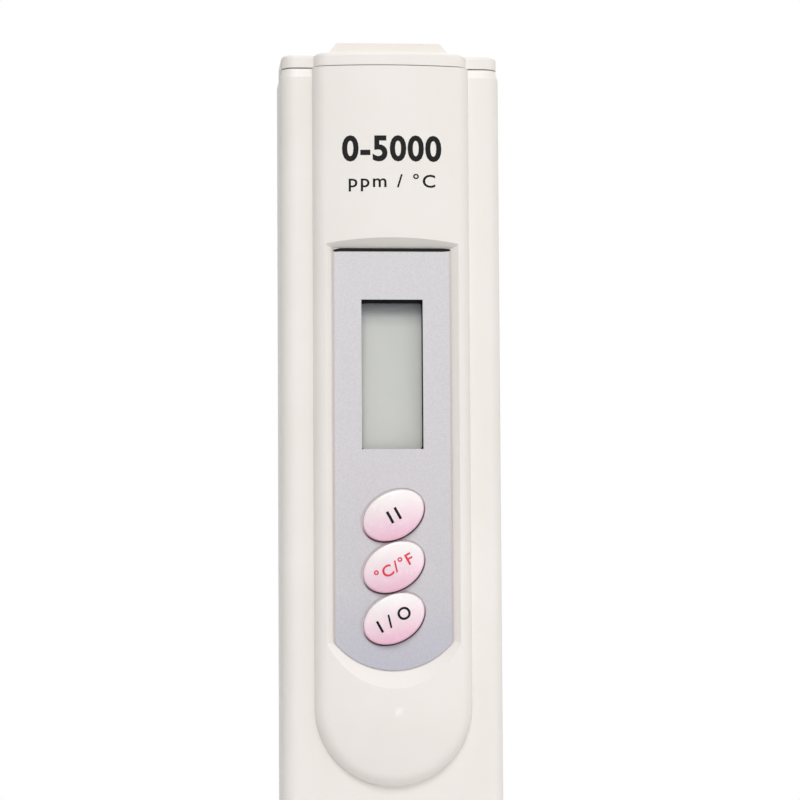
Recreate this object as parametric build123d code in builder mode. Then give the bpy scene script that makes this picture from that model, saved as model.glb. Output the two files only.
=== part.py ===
from build123d import *
import os
from math import sqrt

# Pen-type meter for dissolved solids in water, in millimetres. X runs across the pen, Z up
# along it, and the front faces -Y. The origin is the centre of the protective cap's flat end.

# Housing
body_w = 31.0
body_d = 14.0
front_edge_r = 2.2
back_edge_r = 3.5
wall = 1.5
end_wall = 1.5
shell_len = 106.3
lip_t = 0.7
lip_h = 1.0
lip_end = 9.0
flare = 0.3
flare_len = 1.2

# Raised tongue down the front
tongue_w = 22.0
tongue_rise = 3.0
tongue_foot = 5.9
crown_r = 40.0
roll_r = 2.2

# Label and its recess, whose walls slope out from the floor
label_w = 16.7
label_foot = 16.0
label_drop = 25.5
label_end_r = 10.6
label_t = 0.25
recess_depth = 1.85
side_slope = 1.3
top_slope = 0.7
floor_wall = 1.6

# Display
window_w = 8.6
window_foot = 30.75
window_drop = 7.25
window_margin = 0.15
pane_border = 1.3
pane_t = 0.8
pane_sink = 0.4
glass_side = 1.9
glass_lap = 2.05
glass_t = 1.1
ledge = 2.5
film_t = 0.2
film_border = 0.6
frame_wall = 0.9
shelf_t = 0.8
zebra_t = 1.5

# Buttons, each an ellipse turned so that its right end is up
button_long = 9.0
button_short = 6.44
button_tilt = 29.0
button_pitch = 7.15
button_lead = 9.25
button_proud = 1.3
button_crown_r = 15.0
button_edge_r = 0.35
button_travel = 0.4
button_gap = 0.15
lug_gap = 0.15
lug_len = 1.2
lug_w = 2.8

# Tact switches
switch_w = 6.0
switch_h = 3.3
switch_cover_t = 0.3
plunger_d = 3.4
plunger_seat = 1.1
leg_w = 0.8
leg_reach = 0.7
leg_t = 0.3

# Circuit board
board_side = 1.5
board_foot = 10.0
board_t = 1.2
board_front = 1.6
board_drop = 3.8
tail_gap = 0.5
tail_len = 7.8

# Parts on the back of the board
blob_d = 12.0
blob_h = 1.6
blob_drop = 13.9
chip_w = 3.9
chip_len = 4.9
chip_h = 1.6
chip_leg = 1.0
chip_pitch = 1.27
chip_leg_w = 0.42
chip_x = 7.2
chip_rise = 23.8
crystal_d = 3.0
crystal_len = 8.0
crystal_lead_d = 0.5
crystal_lead_len = 2.0
crystal_x = 8.6
crystal_drop = 14.5
can_d = 5.0
can_h = 5.0
can_edge_r = 0.6
smd_len = 2.0
smd_w = 1.25
smd_cap = 0.4
smd_step = 0.08
ceramic_h = 1.1
resistor_h = 0.6
smd_side = 3.2
smd_row = 3.6
smd_count = 5
smd_low = 11.0

# Button cells and the drawer that carries them
cell_d = 11.6
cell_t = 5.4
cell_pole_d = 9.2
cell_pole_h = 0.25
cell_pitch = 12.4
cell_drop = 8.0
tray_t = 4.8
tray_rim = 1.6
tray_end = 1.3
head_t = 1.85
head_inset = 0.25
head_edge_r = 0.5
tab_w = 18.0
tab_top_w = 14.7
tab_d = 8.0
tab_h = 2.2
tab_foot_r = 1.4
seam_gap = 0.15

# Rails and leaf contacts of the battery bay
rail_wall = 1.4
rail_ledge = 1.0
bay_floor_t = 1.2
leaf_t = 0.2
leaf_w = 2.6
leaf_off = 3.3
leaf_gap = 0.15
leaf_jog = 0.9
leaf_foot = 1.6
leaf_foot_drop = 3.0
leaf_past = 3.2
bridge_w = 3.4
bridge_r = 1.1
bridge_rib_w = 2.0

# Probe
neck_r = 1.2
neck_flange = 0.5
neck_flange_t = 2.8
neck_root_w = 19.0
neck_root_d = 7.4
neck_root_len = 3.2
rib_bite = 0.4
prong_w = 6.4
prong_len = 15.0
prong_tip_r = 0.8
neck_len = 32.3
pin_d = 1.4
pin_pitch = 6.35
pin_len = 11.5
pin_tail = 2.0
pin_fit = 0.05
sensor_d = 2.4
sensor_len = 9.0
wire_d = 0.9
wire_run = 6.0
wire_pitch = 1.1

# Protective cap
cap_len = 44.2
cap_gap = 0.3
cap_wall = 2.0
cap_floor = 2.0
cap_end_r = 1.5
cap_mouth = 0.4

# Pocket clip
clip_rise = 6.0
clip_len = 50.0
clip_drop = 3.0
clip_w = 10.0
clip_tip_w = 7.0
clip_tip_r = 2.3
clip_root_r = 1.0
clip_t = 2.0
clip_foot = 8.0
clip_bead_len = 7.0
clip_bead_gap = 0.35
clip_edge_r = 0.4
clip_screw_d = 2.2
clip_screw_bite = 4.0

# Calibration trimmer
trimmer_w = 6.6
trimmer_h = 2.8
rotor_d = 4.4
rotor_h = 1.7
rotor_proud = 0.3
slot_w = 0.7
slot_len = 3.0
slot_depth = 0.5
trimmer_drop = 29.2
trimmer_hole_d = 3.6

# Screws
case_screw_share = 0.46
case_screw_len = 9.6
case_head_share = 0.8
case_head_t = 1.4
case_head_sink = 0.3
case_boss_bite = 0.2
case_screw_low = 13.5
case_screw_drop = 10.8
board_screw_d = 1.9
board_head_d = 3.5
board_head_t = 1.2
board_screw_len = 5.0
board_boss_d = 4.4
board_screw_in = 2.5
board_screw_low = 12.0
board_screw_gap = 2.4
recess_cross = 0.5

# Running and fitting clearances
run_gap = 0.3
fit_gap = 0.1

# Widths across the pen
half_w = body_w / 2
half_d = body_d / 2
in_x = half_w - wall
in_y = half_d - wall
tray_x = cell_d / 2 + tray_rim
bay_x = tray_x + run_gap
board_w = 2 * (in_x - board_side)
glass_w = window_w + 2 * glass_side
neck_w = body_w - 2 * (cap_wall + run_gap)
neck_d = body_d - 2 * (cap_wall + run_gap)
notch_w = neck_w - 2 * prong_w
case_boss_d = in_x - fit_gap - bay_x - rail_wall + case_boss_bite
case_screw_d = case_screw_share * case_boss_d
case_head_d = case_head_share * case_boss_d
case_boss_x = in_x - case_boss_d / 2 - fit_gap
tail_w = 2 * (case_boss_x - case_boss_d / 2 - tail_gap)
board_screw_x = board_w / 2 - board_screw_in
smd_pitch = (board_screw_x - smd_side) / (smd_count // 2)
smd_xs = [(n - smd_count // 2) * smd_pitch for n in range(smd_count)]

# Levels along the pen
shell_bottom = cap_len + cap_gap
shell_top = shell_bottom + shell_len
inner_bottom = shell_bottom + end_wall
inner_top = shell_top - end_wall
tongue_z = shell_bottom + tongue_foot + tongue_w / 2
label_top = shell_top - label_drop
label_tip = shell_bottom + tongue_foot + label_foot
window_h = label_top - window_drop - label_tip - window_foot
window_z = label_top - window_drop - window_h / 2
glass_h = window_h + 2 * glass_lap
button_top = window_z - window_h / 2 - button_lead
button_zs = [button_top - n * button_pitch for n in range(3)]
board_top = label_top - board_drop
board_low = shell_bottom + board_foot
head_z = shell_top + seam_gap
cell_zs = [shell_top - cell_drop - n * cell_pitch for n in range(2)]
tray_low = cell_zs[-1] - cell_d / 2 - tray_end
bay_low = tray_low - run_gap
tip_z = shell_bottom - neck_len
notch_z = tip_z + prong_len
flange_top = inner_bottom + neck_flange_t + fit_gap
root_top = flange_top + neck_root_len
head_top = head_z + head_t
trimmer_z = board_top - trimmer_drop
blob_z = board_top - blob_drop
chip_z = board_low + chip_rise
crystal_z = board_top - crystal_drop
can_z = crystal_z + crystal_len - can_d / 2
smd_low_z = board_low + smd_low
foot_z = board_top - leaf_foot_drop
short_leaf_top = cell_zs[1] + leaf_past
long_leaf_top = cell_zs[0] + leaf_past
long_jog = (cell_zs[0] + cell_zs[1]) / 2
clip_top = shell_top - clip_drop
clip_tip = clip_top - clip_len
clip_screw_z = clip_top - clip_foot / 2
board_screw_zs = [
    window_z - glass_h / 2 - board_screw_gap - frame_wall - fit_gap / 2,
    board_low + board_screw_low,
]
case_screw_zs = [shell_top - case_screw_drop, shell_bottom + case_screw_low]

# Depths in front of the parting plane and behind it
crest = half_d + tongue_rise
recess_floor = crest - recess_depth
inner_face = recess_floor - floor_wall
pane_front = inner_face + pane_sink
pane_back = pane_front - pane_t
film_front = pane_back - fit_gap
glass_front = film_front - film_t
glass_mid = glass_front - glass_t
glass_back = glass_mid - glass_t
film_back = glass_back - film_t
board_back = board_front - board_t
trimmer_back = board_back - trimmer_h
blob_r = (blob_d**2 / 4 + blob_h**2) / (2 * blob_h)
button_front = recess_floor + label_t + button_proud
clip_back = half_d + clip_rise
switch_top = board_front + switch_h
button_back = switch_top + button_travel + run_gap
leaf_y = max(cell_t / 2, tray_t / 2) + leaf_gap
tongue_in = tongue_w / 2 - wall - fit_gap
crown_low = label_top + top_slope * recess_depth + floor_wall
recess_reach = recess_depth + roll_r


def facing(depth):
    """Plane that faces the viewer, this far in front of the parting plane."""
    return Plane.XZ.offset(depth)


def level(z):
    """Plane across the pen at this height."""
    return Plane.XY.offset(z)


def crown_y(x, inset=0.0):
    """Depth coordinate of the tongue's crown at x, for the outside or inset from it."""
    radius = crown_r - inset
    return -crest + inset + radius - sqrt(radius**2 - x**2)


def body_section(inset=0.0):
    """Plain section of the pen, with softer back edges than front ones."""
    with BuildSketch() as section:
        Rectangle(body_w - 2 * inset, body_d - 2 * inset)
        fillet(section.vertices().group_by(Axis.Y)[0], front_edge_r - inset)
        fillet(section.vertices().group_by(Axis.Y)[-1], back_edge_r - inset)
    return section.sketch


def tongue_section(inset=0.0):
    """Section of the crowned tongue with its rolled edges, rooted at the parting plane."""
    half = tongue_w / 2 - inset
    edge = crown_y(half, inset)
    with BuildSketch() as section:
        with BuildLine():
            Polyline((-half, edge), (-half, 0), (half, 0), (half, edge))
            ThreePointArc((half, edge), (0, inset - crest), (-half, edge))
        make_face()
        fillet(section.vertices().group_by(Axis.Y)[0], roll_r)
    return section.sketch


def label_outline(grow=0.0, grow_top=0.0):
    """Outline of the label, straight at the top and bowed at the bottom."""
    half = label_w / 2 + grow
    radius = label_end_r + grow
    centre = label_tip + label_end_r
    corner = centre - sqrt(radius**2 - half**2)
    top = label_top + grow_top
    with BuildSketch() as outline:
        with BuildLine():
            Polyline((-half, corner), (-half, top), (half, top), (half, corner))
            ThreePointArc((half, corner), (0, centre - radius), (-half, corner))
        make_face()
    return outline.sketch


def button_outline(grow=0.0):
    """Ellipse of one button, slanted, about its own centre."""
    with BuildSketch() as outline:
        Ellipse(button_long / 2 + grow, button_short / 2 + grow, rotation=button_tilt)
    return outline.sketch


def rail_section(side, root):
    """Half of the battery bay's side rail, from the parting plane out to a shell's wall."""
    with BuildSketch() as section:
        with Locations((side * (bay_x + rail_wall / 2), root / 2)):
            Rectangle(rail_wall, abs(root))
        start = (tray_t / 2 + run_gap) * (1 if root > 0 else -1)
        with Locations((side * (bay_x - rail_ledge / 2), (start + root) / 2)):
            Rectangle(rail_ledge, abs(root - start))
    return section.sketch


def neck_section(grow=0.0):
    """Section of the neck that the cap slides over."""
    with BuildSketch() as section:
        RectangleRounded(neck_w + 2 * grow, neck_d + 2 * grow, neck_r + grow)
    return section.sketch


def mouth_section():
    """Opening in the top wall that the drawer's tray and cells pass through."""
    with BuildSketch() as section:
        Rectangle(2 * bay_x, 2 * (cell_t / 2 + run_gap))
    return section.sketch


def housing():
    """Outer form of the pen between the cap and the drawer, flared in at its top edge."""
    with BuildPart() as block:
        with BuildSketch(level(shell_bottom)):
            add(body_section())
        extrude(amount=shell_len - flare_len)
        with BuildSketch(level(shell_top - flare_len)):
            add(body_section())
        with BuildSketch(level(shell_top)):
            add(body_section(flare))
        loft()
    return block.part


def tongue():
    """Crowned tongue down the front, closed by a half turn of its own section."""
    with BuildPart() as ridge:
        with BuildSketch(level(tongue_z)):
            add(tongue_section())
        extrude(amount=shell_top - tongue_z)
        with BuildSketch(level(tongue_z)):
            add(tongue_section())
            Rectangle(tongue_w, 2 * crest, align=(Align.MAX, Align.CENTER), mode=Mode.SUBTRACT)
        revolve(axis=Axis((0, 0, tongue_z), (0, 1, 0)), revolution_arc=180)
    return ridge.part


def hollow(side):
    """Room inside one shell, with the openings for the neck and for the drawer."""
    with BuildPart() as room:
        with BuildSketch(Plane.XZ):
            with Locations((0, (inner_bottom + inner_top) / 2)):
                Rectangle(2 * in_x, inner_top - inner_bottom)
        extrude(amount=side * in_y)
        with BuildSketch(level(shell_bottom)):
            add(neck_section(fit_gap))
        extrude(amount=end_wall)
        with BuildSketch(level(inner_top)):
            add(mouth_section())
        extrude(amount=end_wall)
    return room.part


def side_bars(grow):
    """Long bars along both sides, where the back shell's lip enters the front shell."""
    length = shell_len - 2 * lip_end + 2 * grow
    middle = (shell_bottom + shell_top) / 2
    with BuildSketch() as bars:
        for side in (1, -1):
            with Locations((side * (in_x + (lip_t + grow) / 2), middle)):
                Rectangle(lip_t + grow, length)
    return bars.sketch


case_spots = [(side * case_boss_x, z) for side in (1, -1) for z in case_screw_zs]
board_spots = [(side * board_screw_x, z) for side in (1, -1) for z in board_screw_zs]
button_hole = button_outline(button_gap)
rail_root = -crown_y(bay_x + rail_wall, wall) + run_gap

# Front shell
outer_form = housing()
raised_tongue = tongue()
front_room = hollow(1)
front_rails = [rail_section(side, -rail_root) for side in (1, -1)]
with BuildPart() as front_shell:
    add(outer_form)
    add(raised_tongue)
    split(bisect_by=Plane.XZ)
    add(front_room, mode=Mode.SUBTRACT)

    # Hollow of the tongue: flat behind the label, and following the crown above it
    with BuildSketch(facing(in_y)):
        with Locations((0, tongue_z)):
            Circle(tongue_in)
            Rectangle(2 * tongue_in, inner_top - tongue_z, align=(Align.CENTER, Align.MIN))
    extrude(amount=inner_face - in_y, mode=Mode.SUBTRACT)
    with BuildSketch(level(crown_low)):
        with BuildLine():
            edge = crown_y(tongue_in, wall)
            Polyline((-tongue_in, edge), (-tongue_in, -in_y), (tongue_in, -in_y), (tongue_in, edge))
            ThreePointArc((tongue_in, edge), (0, wall - crest), (-tongue_in, edge))
        make_face()
    extrude(amount=inner_top - crown_low, mode=Mode.SUBTRACT)

    # Label recess with sloped walls
    with BuildSketch(facing(recess_floor)):
        add(label_outline())
    with BuildSketch(facing(recess_floor + recess_reach)):
        add(label_outline(side_slope * recess_reach, top_slope * recess_reach))
    loft(ruled=True, mode=Mode.SUBTRACT)

    # Window, the pane's rebate behind it, and the slot that the three buttons share
    with BuildSketch(facing(inner_face)):
        with Locations((0, window_z)):
            Rectangle(window_w + 2 * window_margin, window_h + 2 * window_margin)
        with Locations(*[(0, z) for z in button_zs]):
            add(button_hole)
    extrude(amount=floor_wall, mode=Mode.SUBTRACT)
    with BuildSketch(facing(inner_face)):
        with Locations((0, window_z)):
            Rectangle(window_w + 2 * pane_border + fit_gap, window_h + 2 * pane_border + fit_gap)
    extrude(amount=pane_sink, mode=Mode.SUBTRACT)

    # Rails and floor of the battery bay, and the rib that carries the front leaf
    with BuildSketch(level(bay_low - bay_floor_t)):
        add(front_rails)
    extrude(amount=inner_top - bay_low + bay_floor_t)
    with BuildSketch(Plane.XZ):
        with Locations((0, bay_low - bay_floor_t / 2)):
            Rectangle(2 * (bay_x + rail_wall), bay_floor_t)
    extrude(amount=inner_face + fit_gap)
    with BuildSketch(facing(leaf_y + leaf_t)):
        with Locations((0, crown_low)):
            Rectangle(bridge_rib_w, inner_top - crown_low, align=(Align.CENTER, Align.MIN))
    extrude(amount=crest - wall / 2 - leaf_y - leaf_t)

    # Bosses for the case screws and for the board
    with BuildSketch(Plane.XZ):
        with Locations(*case_spots):
            Circle(case_boss_d / 2)
    extrude(amount=in_y + fit_gap)
    with BuildSketch(Plane.XZ):
        with Locations(*case_spots):
            Circle(case_screw_d / 2 + fit_gap / 2)
    extrude(amount=in_y - fit_gap, mode=Mode.SUBTRACT)
    with BuildSketch(facing(board_front)):
        with Locations(*board_spots):
            Circle(board_boss_d / 2)
    extrude(amount=inner_face - board_front + fit_gap)
    with BuildSketch(facing(board_front)):
        with Locations(*board_spots):
            Circle(board_screw_d / 2 + fit_gap / 2)
    extrude(amount=board_screw_len - board_t + fit_gap, mode=Mode.SUBTRACT)

    # Stop rib over the neck's flange, and the rebate for the back shell's lip
    with BuildSketch(facing(neck_d / 2 - rib_bite)):
        with Locations((0, flange_top + fit_gap)):
            Rectangle(neck_w - 2 * case_boss_d, wall, align=(Align.CENTER, Align.MIN))
    extrude(amount=in_y + fit_gap - neck_d / 2 + rib_bite)
    with BuildSketch(Plane.XZ):
        add(side_bars(fit_gap))
    extrude(amount=lip_h + fit_gap, mode=Mode.SUBTRACT)
front_shell.part.label = "front_shell"

# Back shell
back_room = hollow(-1)
back_rails = [rail_section(side, in_y + fit_gap) for side in (1, -1)]
with BuildPart() as back_shell:
    add(outer_form)
    split(bisect_by=Plane.XZ, keep=Keep.BOTTOM)
    add(back_room, mode=Mode.SUBTRACT)

    # Rails and floor of the battery bay, and the ribs that carry the two rear leaves
    with BuildSketch(level(bay_low - bay_floor_t)):
        add(back_rails)
    extrude(amount=inner_top - bay_low + bay_floor_t)
    with BuildSketch(facing(-in_y - fit_gap)):
        with Locations((0, bay_low - bay_floor_t / 2)):
            Rectangle(2 * (bay_x + rail_wall), bay_floor_t)
        with Locations((leaf_off, bay_low)):
            Rectangle(leaf_w, long_jog - bay_low, align=(Align.CENTER, Align.MIN))
    extrude(amount=in_y + fit_gap - leaf_y - leaf_t - leaf_jog)
    with BuildSketch(facing(-in_y - fit_gap)):
        with Locations((-leaf_off, bay_low - bay_floor_t)):
            Rectangle(leaf_w, short_leaf_top - bay_low, align=(Align.CENTER, Align.MIN))
        with Locations((leaf_off, long_jog)):
            Rectangle(leaf_w, inner_top - long_jog, align=(Align.CENTER, Align.MIN))
    extrude(amount=in_y + fit_gap - leaf_y - leaf_t)

    # Bosses, through holes and head seats of the case screws
    with BuildSketch(Plane.XZ):
        with Locations(*case_spots):
            Circle(case_boss_d / 2)
    extrude(amount=-half_d + wall / 2)
    with BuildSketch(Plane.XZ):
        with Locations(*case_spots):
            Circle(case_screw_d / 2 + 2 * fit_gap)
    extrude(amount=-half_d, mode=Mode.SUBTRACT)
    with BuildSketch(facing(-half_d)):
        with Locations(*case_spots):
            Circle(case_head_d / 2 + 2 * fit_gap)
    extrude(amount=case_head_sink + case_head_t, mode=Mode.SUBTRACT)

    # Calibration hole over the trimmer, and the clip screw's hole
    with BuildSketch(facing(-half_d)):
        with Locations((0, trimmer_z)):
            Circle(trimmer_hole_d / 2)
        with Locations((0, clip_screw_z)):
            Circle(clip_screw_d / 2 + fit_gap)
    extrude(amount=wall, mode=Mode.SUBTRACT)

    # Stop rib over the neck's flange, and the lip that enters the front shell
    with BuildSketch(facing(rib_bite - neck_d / 2)):
        with Locations((0, flange_top + fit_gap)):
            Rectangle(neck_w - 2 * case_boss_d, wall, align=(Align.CENTER, Align.MIN))
    extrude(amount=neck_d / 2 - rib_bite - in_y - fit_gap)
    with BuildSketch(facing(-lip_h)):
        add(side_bars(0))
    extrude(amount=2 * lip_h)
back_shell.part.label = "back_shell"

# Label, open over the window and the buttons
label_hole = button_outline(button_gap + fit_gap)
with BuildPart() as front_label:
    with BuildSketch(facing(recess_floor)):
        add(label_outline(-fit_gap / 2, -fit_gap / 2))
        with Locations((0, window_z)):
            Rectangle(window_w, window_h, mode=Mode.SUBTRACT)
        with Locations(*[(0, z) for z in button_zs]):
            add(label_hole, mode=Mode.SUBTRACT)
    extrude(amount=label_t)
front_label.part.label = "front_label"


def plate(width, height, front_depth, back_depth, corner=0.2):
    """Flat piece behind the window, centred on it, between two depths."""
    with BuildPart() as piece:
        with BuildSketch(facing(back_depth)):
            with Locations((0, window_z)):
                RectangleRounded(width, height, corner)
        extrude(amount=front_depth - back_depth)
    return piece.part


# Display: pane, front film, two glasses and rear film, from front to back
rear_glass_h = glass_h - 2 * ledge
film_w = glass_w - 2 * film_border
pane_w = window_w + 2 * pane_border
pane_h = window_h + 2 * pane_border
display_plates = {
    "display_window": plate(pane_w, pane_h, pane_front, pane_back),
    "display_polariser": plate(film_w, glass_h - 2 * film_border, film_front, glass_front),
    "display_front_glass": plate(glass_w, glass_h, glass_front, glass_mid),
    "display_rear_glass": plate(glass_w, rear_glass_h, glass_mid, glass_back),
    "display_reflector": plate(film_w, rear_glass_h - 2 * film_border, glass_back, film_back),
}

# Elastomer connector strips, under the ledges of the front glass
with BuildPart() as zebra_strips:
    with BuildSketch(facing(board_front)):
        with Locations(*[(0, window_z + side * (glass_h - ledge) / 2) for side in (1, -1)]):
            Rectangle(film_w, zebra_t)
    extrude(amount=glass_mid - board_front)
zebra_strips.part.label = "zebra_strips"

# Frame that holds the glass over the board, with a shelf under the rear film
with BuildPart() as display_frame:
    with BuildSketch(facing(board_front)):
        with Locations((0, window_z)):
            frame_border = 2 * (fit_gap + frame_wall)
            RectangleRounded(glass_w + frame_border, glass_h + frame_border, frame_wall)
            Rectangle(glass_w + 2 * fit_gap, glass_h + 2 * fit_gap, mode=Mode.SUBTRACT)
    extrude(amount=glass_front - board_front)
    with BuildSketch(facing(film_back - fit_gap - shelf_t)):
        with Locations((0, window_z)):
            Rectangle(glass_w + 2 * fit_gap + frame_wall, rear_glass_h)
    extrude(amount=shelf_t)
display_frame.part.label = "display_frame"


def make_button(z):
    """Domed oval cap with two lugs that stop it behind the shell."""
    with BuildPart() as cap:
        with BuildSketch(facing(button_back)):
            with Locations((0, z)):
                add(button_face)
        extrude(amount=button_front - button_back)
        with Locations((0, button_crown_r - button_front, z)):
            Sphere(button_crown_r, mode=Mode.INTERSECT)
        fillet(cap.faces().sort_by(Axis.Y)[0].edges(), button_edge_r)
        with BuildSketch(facing(button_back)):
            with Locations((0, z)):
                Rectangle(button_long + 2 * lug_len, lug_w)
        extrude(amount=inner_face - lug_gap - button_back)
    return cap.part


def make_switch(z):
    """Tact switch body with its metal cover, plunger hole and four legs."""
    with BuildPart() as switch:
        with BuildSketch(facing(board_front)):
            with Locations((0, z)):
                Rectangle(switch_w, switch_w)
        extrude(amount=switch_h - switch_cover_t)
        with BuildSketch(facing(switch_top - switch_cover_t)):
            with Locations((0, z)):
                RectangleRounded(switch_w - 2 * leg_t, switch_w - 2 * leg_t, leg_t)
        extrude(amount=switch_cover_t)
        with BuildSketch(facing(board_front)):
            with Locations((0, z)):
                with GridLocations(switch_w + leg_reach, switch_w - 2 * leg_w, 2, 2):
                    Rectangle(leg_reach, leg_w)
        extrude(amount=leg_t)
        with BuildSketch(facing(switch_top)):
            with Locations((0, z)):
                Circle(plunger_d / 2 + fit_gap)
        extrude(amount=-plunger_seat - button_travel - fit_gap, mode=Mode.SUBTRACT)
    return switch.part


def make_plunger(z):
    """Round plunger between a switch and its cap."""
    with BuildPart() as plunger:
        with BuildSketch(facing(switch_top - plunger_seat)):
            with Locations((0, z)):
                Circle(plunger_d / 2)
        extrude(amount=button_back - switch_top + plunger_seat)
    return plunger.part


# Buttons with their switches and plungers
button_face = button_outline()
keys = {}
for key, z in zip(("hold", "temp", "power"), button_zs):
    keys[key + "_button"] = make_button(z)
    keys[key + "_switch"] = make_switch(z)
    keys[key + "_plunger"] = make_plunger(z)

# Circuit board, narrowed at its tail between the lower case screws
with BuildPart() as circuit_board:
    with BuildSketch(facing(board_back)):
        with Locations((0, board_top)):
            Rectangle(tail_w, board_top - board_low, align=(Align.CENTER, Align.MAX))
            Rectangle(board_w, board_top - board_low - tail_len, align=(Align.CENTER, Align.MAX))
        with Locations(*board_spots):
            Circle(board_screw_d / 2 + fit_gap, mode=Mode.SUBTRACT)
    extrude(amount=board_t)
circuit_board.part.label = "circuit_board"

# Calibration trimmer, behind the board and facing the back's hole
with BuildPart() as trimmer_body:
    with BuildSketch(facing(board_back)):
        with Locations((0, trimmer_z)):
            RectangleRounded(trimmer_w, trimmer_w, leg_t)
    extrude(amount=-trimmer_h)
    with BuildSketch(facing(trimmer_back)):
        with Locations((0, trimmer_z)):
            Circle(rotor_d / 2 + fit_gap)
    extrude(amount=rotor_h, mode=Mode.SUBTRACT)
trimmer_body.part.label = "trimmer_body"
with BuildPart() as trimmer_rotor:
    with BuildSketch(facing(trimmer_back + rotor_h - fit_gap / 2)):
        with Locations((0, trimmer_z)):
            Circle(rotor_d / 2)
    extrude(amount=-rotor_h + fit_gap / 2 - rotor_proud)
    with BuildSketch(facing(trimmer_back - rotor_proud)):
        with Locations((0, trimmer_z)):
            Rectangle(slot_len, slot_w)
            Rectangle(slot_w, slot_len)
    extrude(amount=slot_depth, mode=Mode.SUBTRACT)
trimmer_rotor.part.label = "trimmer_rotor"

# Epoxy drop over the controller die, a low cap of a sphere
with BuildPart() as controller_blob:
    with Locations((0, blob_h - board_back - blob_r, blob_z)):
        Sphere(blob_r)
    split(bisect_by=facing(board_back), keep=Keep.BOTTOM)
controller_blob.part.label = "controller_blob"

# Two eight-lead amplifier chips
chip_spots = [(side * chip_x, chip_z) for side in (1, -1)]
with BuildPart() as amplifier_chips:
    with BuildSketch(facing(board_back)):
        with Locations(*chip_spots):
            with GridLocations(chip_w + chip_leg, chip_pitch, 2, 4):
                Rectangle(chip_leg + fit_gap, chip_leg_w)
    extrude(amount=-chip_h / 2)
    with BuildSketch(facing(board_back - fit_gap)):
        with Locations(*chip_spots):
            Rectangle(chip_w, chip_len)
    extrude(amount=fit_gap - chip_h)
amplifier_chips.part.label = "amplifier_chips"

# Clock crystal, a can lying on the board
with BuildPart() as clock_crystal:
    with BuildSketch(level(crystal_z)):
        with Locations((crystal_x, crystal_d / 2 - board_back)):
            Circle(crystal_d / 2)
    extrude(amount=crystal_len)
    with BuildSketch(level(crystal_z)):
        for side in (1, -1):
            with Locations((crystal_x + side * crystal_d / 4, crystal_lead_d / 2 - board_back)):
                Circle(crystal_lead_d / 2)
    extrude(amount=-crystal_lead_len)
clock_crystal.part.label = "clock_crystal"

# Electrolytic capacitor, standing on the board with its rolled bead
with BuildPart() as electrolytic_capacitor:
    with BuildSketch(facing(board_back)):
        with Locations((-crystal_x, can_z)):
            Circle(can_d / 2)
    extrude(amount=-can_h)
    fillet(electrolytic_capacitor.faces().sort_by(Axis.Y)[-1].edges(), can_edge_r)
electrolytic_capacitor.part.label = "electrolytic_capacitor"


def chip_rows(height, spots):
    """Small two-ended surface parts on the back of the board, standing this high."""
    with BuildPart() as row:
        with BuildSketch(facing(board_back)):
            with Locations(*spots):
                Rectangle(smd_len, smd_w)
        extrude(amount=-height)
        with BuildSketch(facing(board_back - height)):
            with Locations(*spots):
                Rectangle(smd_len - 2 * smd_cap, smd_w)
        extrude(amount=smd_step, mode=Mode.SUBTRACT)
    return row.part


smd_rows = {
    "ceramic_capacitors": chip_rows(ceramic_h, [(x, smd_low_z) for x in smd_xs]),
    "resistors": chip_rows(resistor_h, [(x, smd_low_z + smd_row) for x in smd_xs]),
}

# Battery drawer: head with a finger tab, and the tray with two round cell pockets
with BuildPart() as battery_drawer:
    with BuildSketch(level(head_z)):
        add(body_section(head_inset))
        add(tongue_section(head_inset))
    extrude(amount=head_t)
    fillet(battery_drawer.faces().sort_by(Axis.Z)[-1].edges(), head_edge_r)
    with BuildSketch(facing(tab_d / 2)) as tab:
        with BuildLine():
            foot_x = tab_w / 2 + tab_foot_r
            Polyline(
                (-foot_x, head_top - head_edge_r),
                (-foot_x, head_top),
                (-tab_w / 2, head_top),
                (-tab_top_w / 2, head_top + tab_h),
                (tab_top_w / 2, head_top + tab_h),
                (tab_w / 2, head_top),
                (foot_x, head_top),
                (foot_x, head_top - head_edge_r),
                close=True,
            )
        make_face()
        corners = tab.vertices().group_by(Axis.Y)
        inner_foot = [v for v in corners[1] if abs(v.X) < foot_x - tab_foot_r / 2]
        fillet(inner_foot, tab_foot_r)
        fillet(tab.vertices().group_by(Axis.Y)[-1], head_edge_r)
    extrude(amount=-tab_d)
    with BuildSketch(level(head_z)):
        Rectangle(2 * tray_x, tray_t)
    extrude(amount=tray_low - head_z)
    fillet(battery_drawer.faces().sort_by(Axis.Z)[0].edges().filter_by(Axis.Y), tray_end)
    with BuildSketch(facing(tray_t / 2)):
        with Locations(*[(0, z) for z in cell_zs]):
            Circle(cell_d / 2 + fit_gap)
    extrude(amount=-tray_t, mode=Mode.SUBTRACT)
battery_drawer.part.label = "battery_drawer"

# Button cells, the upper with its narrow pole to the front and the lower to the back
with BuildPart() as button_cells:
    for z, pole in zip(cell_zs, (1, -1)):
        with BuildSketch(facing(-pole * cell_t / 2)):
            with Locations((0, z)):
                Circle(cell_d / 2)
        extrude(amount=pole * (cell_t - cell_pole_h))
        with BuildSketch(facing(pole * (cell_t / 2 - cell_pole_h))):
            with Locations((0, z)):
                Circle(cell_pole_d / 2)
        extrude(amount=pole * cell_pole_h)
button_cells.part.label = "button_cells"

# Leaf across the fronts of both cells
with BuildPart() as battery_bridge:
    with BuildSketch(facing(leaf_y)):
        with Locations((0, (cell_zs[0] + cell_zs[1]) / 2)):
            RectangleRounded(bridge_w, cell_pitch + cell_d / 2, bridge_r)
    extrude(amount=leaf_t)
battery_bridge.part.label = "battery_bridge"


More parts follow.
